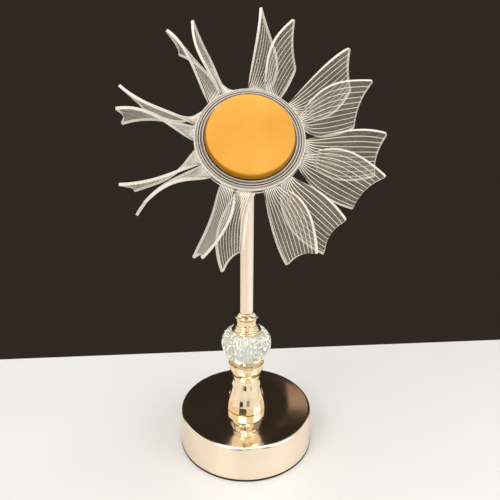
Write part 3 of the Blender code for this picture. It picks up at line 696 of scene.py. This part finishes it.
def make_rings(mats, place):
    """Clear rings; the risers of the front ring's steps are frosted with a faint painted glow, its treads clear
    acrylic painted dark as a painted reflection of the dark room.
    """
    inside = SHEET_T / 2 + GAP_MM
    # clear marks the treads painted dark as a painted reflection; white marks the frosted risers with painted glow
    clear = 0
    white = 1
    haze = 2
    front = [(RING_IN_R, RING_T, clear), (33.4, RING_T, clear), (33.4, 2.2, clear), (34.3, 2.2, clear),
             (34.3, 2.8, white),
             (34.7, 2.8, haze), (35.6, 2.7, clear), (35.7, 2.3, clear), (36.1, 2.3, clear),
             (36.2, 2.7, haze),
             (36.7, 2.65, white), (37.1, 2.6, clear), (37.1, 1.8, clear), (38.2, 1.8, clear),
             (38.2, 2.4, white),
             (38.6, 2.4, haze), (40.2, 2.2, white), (40.8, 1.9, white), (RING_OUT_R, 1.5, white),
             (RING_OUT_R, 0.0, clear)]
    outline = [(RING_IN_R, inside, clear)] + [(r, inside + rise, look) for r, rise, look in front]
    looks = [mats["ring_acrylic_painted_dark"], mats["frosted_edge_painted_glow"], mats["ring_haze"]]
    ring = turned("front_ring_fine", scaled(outline), looks, 160, place=place)
    stands_for(ring, "head", "clear_acrylic", "front_ring")
    outline = [(RING_IN_R, -inside, clear), (RING_IN_R, -inside - RING_T, clear),
               (40.2, -inside - RING_T, white),
               (RING_OUT_R, -inside - 2.2, white), (RING_OUT_R, -inside, clear)]
    ring = turned("rear_ring_fine", scaled(outline), looks, 160, place=place)
    stands_for(ring, "head", "clear_acrylic", "rear_ring")


def make_disc(mats, place):
    low = SHEET_T / 2 + GAP_MM + RING_T + GAP_MM
    flat_r = DISC_R - DISC_EDGE_R
    # the side wall and the lower part of the rounded edge carry the gold with painted shade
    side = 1
    rim = arc((flat_r, DISC_FACE_Z - DISC_EDGE_R), DISC_EDGE_R, 0, 90, 12)
    outer = [(DISC_FOOT_R, low, side), (DISC_FOOT_R, low + 0.2, side)] + [(r, z, side) for r,
                                                                          z in rim[:4]] + rim[4:]
    outer += [(20.0, DISC_FACE_Z), (10.0, DISC_FACE_Z), (0.0, DISC_FACE_Z)]
    ceiling = DISC_FACE_Z - DISC_WALL
    inner = [
        (0.0, ceiling), (flat_r, ceiling), (DISC_R - DISC_WALL, DISC_FACE_Z - 2.4),
        (DISC_FOOT_R - DISC_WALL, low),
    ]
    looks = [mats["satin_gold"], mats["satin_gold_side_painted_shade"]]
    disc = turned("gold_disc_fine", scaled(outer + inner), looks, 192, place=place)
    stands_for(disc, "head", "satin_gold", "gold_disc")


def cubic(points, t):
    s = 1.0 - t
    weights = (s * s * s, 3 * s * s * t, 3 * s * t * t, t * t * t)
    return [sum(w * p[k] for w, p in zip(weights, points)) for k in range(3)]


def cylinder_point(point, turn):
    radius, angle, height = point
    a = math.radians(angle + turn)
    return Vector((radius * math.cos(a), radius * math.sin(a), height))


def petal_width(edges, t):
    return (cylinder_point(cubic(edges["lead"], t), 0.0) - cylinder_point(cubic(edges["trail"], t),
                                                                          0.0)).length


def petal_columns(edges, t):
    """Places across the petal, 0 at the lead and 1 at the trail: (place, material of the strip after it)."""
    width = petal_width(edges, t)
    half = min(LINE_HALF_WIDTH / width, 0.33 / (ENGRAVED_LINES + 1))
    corner = min(1.8 / width, 0.06)
    columns = [(0.0, 0), (corner * 0.15, 0), (corner * 0.45, 0)]
    for i in range(1, ENGRAVED_LINES + 1):
        w = i / (ENGRAVED_LINES + 1)
        columns += [(w - half, 2), (w, 2), (w + half, 0)]
    columns += [(1.0 - corner * 0.45, 0), (1.0 - corner * 0.15, 0), (1.0, 0)]
    return columns


def petal_end(w, width):
    """How far along the petal ends at a place across it: a scallop between two rounded corners."""
    away = min(w, 1.0 - w) * width
    short = 0.0
    if away < PETAL_CORNER_R:
        short = PETAL_CORNER_R - math.sqrt(PETAL_CORNER_R ** 2 - (PETAL_CORNER_R - away) ** 2)
    return 1.0 - SCALLOP * 4.0 * w * (1.0 - w) - short / PETAL_LENGTH


def petal_point(edges, turn, w, t):
    lead = cylinder_point(cubic(edges["lead"], t), turn)
    trail = cylinder_point(cubic(edges["trail"], t), turn)
    return lead.lerp(trail, w)


def petal_normal(edges, turn, w, t):
    step = 0.02
    along = petal_point(edges, turn, w, min(t + step, 1.05)) - petal_point(edges, turn, w,
                                                                           max(t - step, 0.0))
    across_it = petal_point(edges, turn, 1.0, t) - petal_point(edges, turn, 0.0, t)
    normal = across_it.cross(along).normalized()
    blend = min(1.0, t / 0.10)
    return (normal * blend + Vector((0.0, 0.0, 1.0)) * (1.0 - blend)).normalized()


def make_petal(name, edges, turn, mats, place):
    """One clear petal: a closed sheet with engraved lines sunk in its front and frosted edges, both with a faint
    painted glow.
    """
    rows = 30
    half = SHEET_T / 2
    end_width = petal_width(edges, 1.0)
    bm = bmesh.new()
    front = []
    back = []
    strips = [material for _, material in petal_columns(edges, 1.0)]
    count = len(strips)
    for i in range(-2, rows + 1):
        t_row = max(i, 0) / rows
        front_row = []
        back_row = []
        for k, (w, _) in enumerate(petal_columns(edges, t_row)):
            if i < 0:
                radius = TAB_IN_R if i == -2 else (TAB_IN_R + TAB_OUT_R) / 2
                angle = edges["lead"][0][1] * (1 - w) + edges["trail"][0][1] * w
                point = cylinder_point((radius, angle, 0.0), turn)
                normal = Vector((0.0, 0.0, 1.0))
            else:
                t = t_row * petal_end(w, end_width)
                point = petal_point(edges, turn, w, t)
                normal = petal_normal(edges, turn, w, t)
            sink = LINE_DEPTH if 3 <= k < count - 3 and (k - 3) % 3 == 1 else 0.0
            front_row.append(bm.verts.new((point + normal * (half - sink)) * MM))
            back_row.append(bm.verts.new((point - normal * half) * MM))
        front.append(front_row)
        back.append(back_row)
    last = len(front) - 1
    for sheet in (front, back):
        for i in range(last):
            for k in range(count - 1):
                face = bm.faces.new((sheet[i][k], sheet[i][k + 1], sheet[i + 1][k + 1], sheet[i + 1][k]))
                face.material_index = strips[k] if sheet is front else 0
    border = [(i, 0) for i in range(last + 1)] + [(last, k) for k in range(1, count)]
    border += [(i, count - 1) for i in range(last - 1, -1, -1)] + [(0, k) for k in range(count - 2, 0, -1)]
    for (i, k), (m, n) in zip(border, border[1:] + border[:1]):
        face = bm.faces.new((back[i][k], back[m][n], front[m][n], front[i][k]))
        face.material_index = 1
    looks = [mats["clear_acrylic"], mats["frosted_edge_painted_glow"], mats["engraved_line_painted_glow"]]
    petal = finish_mesh(name + "_fine", bm, looks, 40.0, place)
    stands_for(petal, "head", "clear_acrylic", name)


def make_petals(mats, place):
    for unit in range(UNITS):
        turn = UNIT_TURN + unit * 360.0 / UNITS
        make_petal("petal_%da" % (unit + 1), PETAL_A, turn, mats, place)
        make_petal("petal_%db" % (unit + 1), PETAL_B, turn, mats, place)


# ---------------------------------------------------------------- stage

def paint_frame(mats):
    """The CAD nodes that stay in view, or inside, take their record slot's material."""
    slots = {}
    for entry in frame["record"]["subparts"]:
        slots[entry["node"]] = entry["material_slot"]
    for name, node in frame["nodes"].items():
        node.data.materials.clear()
        node.data.materials.append(mats[slots[name]])


def make_floor():
    bm = bmesh.new()
    add_box(bm, FLOOR_LOW, (FLOOR_RIGHT, FLOOR_BEHIND, 0.0))
    look = Look("pale_floor", Roughness=0.35)
    cloud = look.noise(3.0, 2.0)
    look.feed("Base Color", look.ramp(cloud, (0.3, (0.78, 0.77, 0.76)), (0.7, (0.82, 0.82, 0.81))))
    floor = finish_mesh("floor", bm, [look.mat], 0.0)


def make_light(name, kind_size, energy, position, target, color=(1.0, 1.0, 1.0)):
    data = bpy.data.lights.new(name, "AREA")
    data.shape = "RECTANGLE"
    data.size, data.size_y = kind_size
    data.energy = energy
    data.color = color
    obj = bpy.data.objects.new(name, data)
    bpy.context.scene.collection.objects.link(obj)
    obj.location = position
    obj.rotation_euler = (Vector(target) - Vector(position)).to_track_quat("-Z", "Y").to_euler()
    return obj


def make_lights():
    make_light("key", (0.9, 0.9), 10.0, (-0.7, -0.9, 1.3), (0, 0, 0.2), (1.0, 0.97, 0.93))
    make_light("fill", (0.8, 0.8), 4.0, (0.9, -0.6, 0.9), (0, 0, 0.2), (1.0, 0.98, 0.96))
    make_light("top", (0.8, 0.8), 6.0, (0.0, 0.1, 1.4), (0, 0, 0.2))
    panel = make_light("warm_panel", (0.10, 0.12), 0.014, (0.27, 0.95, 0.72), (0, 0, 0.04),
                       (1.0, 0.68, 0.48))
    panel.visible_camera = False


def make_world():
    """A studio for polished metal to mirror: bright panels and dark gaps in front, a dark wall behind."""
    world = bpy.data.worlds.new("room")
    bpy.context.scene.world = world
    world.use_nodes = True
    tree = world.node_tree
    where = tree.nodes.new("ShaderNodeTexCoord")
    split = tree.nodes.new("ShaderNodeSeparateXYZ")
    tree.links.new(where.outputs["Generated"], split.inputs[0])

    across_room = tree.nodes.new("ShaderNodeMapRange")
    across_room.inputs["From Min"].default_value = -1.0
    tree.links.new(split.outputs["X"], across_room.inputs["Value"])
    panels = tree.nodes.new("ShaderNodeValToRGB")
    tree.links.new(across_room.outputs[0], panels.inputs[0])
    stops = ((0.0, 0.90), (0.15, 1.00), (0.29, 0.90), (0.32, 0.05), (0.41, 0.05), (0.43, 0.90),
             (0.47, 0.95),
             (0.49, 0.45), (0.53, 0.90), (0.66, 1.00), (0.70, 0.35), (0.78, 0.35), (0.82, 0.95),
             (1.0, 0.90))
    elements = panels.color_ramp.elements
    while len(elements) < len(stops):
        elements.new(0.5)
    for element, (place, level) in zip(elements, stops):
        element.position = place
        element.color = (level, level * 0.975, level * 0.94, 1.0)

    toward_wall = tree.nodes.new("ShaderNodeMapRange")
    toward_wall.inputs["From Min"].default_value = WALL_BEGINS
    toward_wall.inputs["From Max"].default_value = WALL_FULL
    tree.links.new(split.outputs["Y"], toward_wall.inputs["Value"])
    room = tree.nodes.new("ShaderNodeMix")
    room.data_type = "RGBA"
    tree.links.new(toward_wall.outputs[0], room.inputs[0])
    tree.links.new(panels.outputs[0], room.inputs[6])
    room.inputs[7].default_value = WALL_COLOR
    path = tree.nodes.new("ShaderNodeLightPath")
    seen = tree.nodes.new("ShaderNodeMix")
    seen.data_type = "RGBA"
    tree.links.new(path.outputs["Is Camera Ray"], seen.inputs[0])
    tree.links.new(room.outputs[2], seen.inputs[6])
    seen.inputs[7].default_value = WALL_COLOR
    tree.links.new(seen.outputs[2], tree.nodes["Background"].inputs["Color"])


def make_camera():
    data = bpy.data.cameras.new("camera")
    data.lens = LENS_MM
    data.sensor_width = SENSOR_MM
    camera = bpy.data.objects.new("camera", data)
    bpy.context.scene.collection.objects.link(camera)
    toward = Vector((math.sin(CAMERA_AZIMUTH), math.cos(CAMERA_AZIMUTH), 0.0))
    right = Vector((math.cos(CAMERA_AZIMUTH), -math.sin(CAMERA_AZIMUTH), 0.0))
    look = toward * math.cos(CAMERA_PITCH) - Vector((0, 0, 1)) * math.sin(CAMERA_PITCH)
    up = right.cross(look)
    turn = Matrix((right, up, -look)).transposed().to_4x4()
    place = -toward * CAMERA_DISTANCE + right * CAMERA_ASIDE + Vector((0, 0, CAMERA_HEIGHT))
    camera.matrix_world = Matrix.Translation(place) @ turn @ Matrix.Rotation(CAMERA_ROLL, 4, "Z")
    bpy.context.scene.camera = camera


def main():
    bpy.context.scene.view_settings.view_transform = "Standard"
    make_camera()
    make_floor()
    make_lights()
    make_world()
    mats = make_materials()
    paint_frame(mats)
    make_drum(mats)
    make_button(mats)
    make_baluster(mats)
    make_cup(mats)
    make_knop(mats)
    make_collar(mats)
    make_stem(mats)
    make_fork(mats)
    make_pivot(mats)
    place = head_place()
    make_tongue(mats, place)
    make_cover(mats, place)
    make_rings(mats, place)
    make_disc(mats, place)
    make_petals(mats, place)


main()
